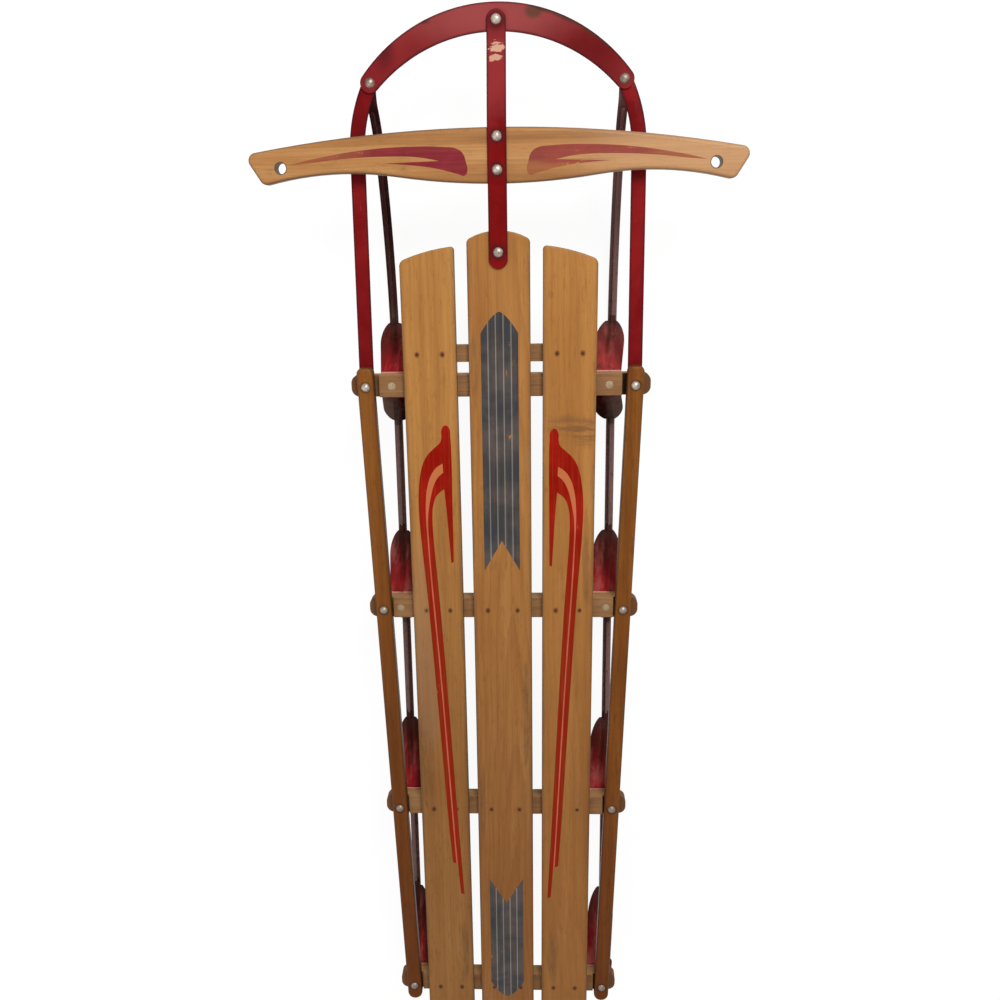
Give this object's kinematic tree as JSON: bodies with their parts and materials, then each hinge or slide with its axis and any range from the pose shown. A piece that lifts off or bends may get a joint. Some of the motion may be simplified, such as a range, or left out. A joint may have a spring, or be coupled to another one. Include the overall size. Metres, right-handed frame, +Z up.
{
  "type": "runner sled",
  "caption": "Steerable wooden sled: slatted deck and side rails on cross benches, pressed-steel knees, T-section steel runners, turning front bar on a strap, curved steel bumper.",
  "frame": {"origin": "on the ground under the middle of the sled", "axes": "+Y forward to the bumper, +X to the rider's right, +Z up"},
  "size_m": [0.6354, 1.568, 0.1769],
  "materials": {
    "wood_deck": "varnished, worn",
    "wood_rail": "varnished, worn",
    "wood_frame": "bare, aged",
    "wood_handle": "varnished, worn",
    "red_steel": "gloss enamel",
    "dark_steel": "worn enamel",
    "rivet_steel": "plated"
  },
  "bodies": {
    "frame": {"slat_centre": "wood_deck", "slat_left": "wood_deck", "slat_right": "wood_deck", "rail_left": "wood_rail", "rail_right": "wood_rail", "front_cleat": "wood_frame", "bench_1": "wood_frame", "bench_2": "wood_frame", "bench_3": "wood_frame", "bench_4": "wood_frame", "side_strip_left": "red_steel", "side_strip_right": "red_steel", "runner_left": "dark_steel", "runner_right": "dark_steel", "knee_left_1": "dark_steel", "knee_left_2": "dark_steel", "knee_left_3": "dark_steel", "knee_left_4": "dark_steel", "knee_right_1": "dark_steel", "knee_right_2": "dark_steel", "knee_right_3": "dark_steel", "knee_right_4": "dark_steel", "rail_rivets": "rivet_steel", "knee_rivets": "rivet_steel", "pivot_rivet": "rivet_steel"},
    "steering": {"steering_handle": "wood_handle", "steering_strap": "red_steel", "handle_rivets": "rivet_steel"},
    "bumper": {"bumper": "red_steel", "bumper_pin": "rivet_steel", "bumper_end_rivets": "rivet_steel"}
  },
  "joints": [
    {"name": "steer", "type": "hinge", "parent": "frame", "child": "steering", "pos_m": [0, 0.4827, 0.17175], "axis": [0, 0, 1], "range_deg": [-8, 8], "stiffness_Nm_per_rad": 80},
    {"name": "bumper_shift", "type": "slide", "parent": "frame", "child": "bumper", "axis": [-1, 0, 0], "range_m": [-0.04, 0.04], "deforming": ["runner_left", "runner_right", "side_strip_left", "side_strip_right"]}
  ],
  "couplings": [
    {"joint": "bumper_shift", "follows": "steer", "m_per_rad": 0.2809}
  ]
}
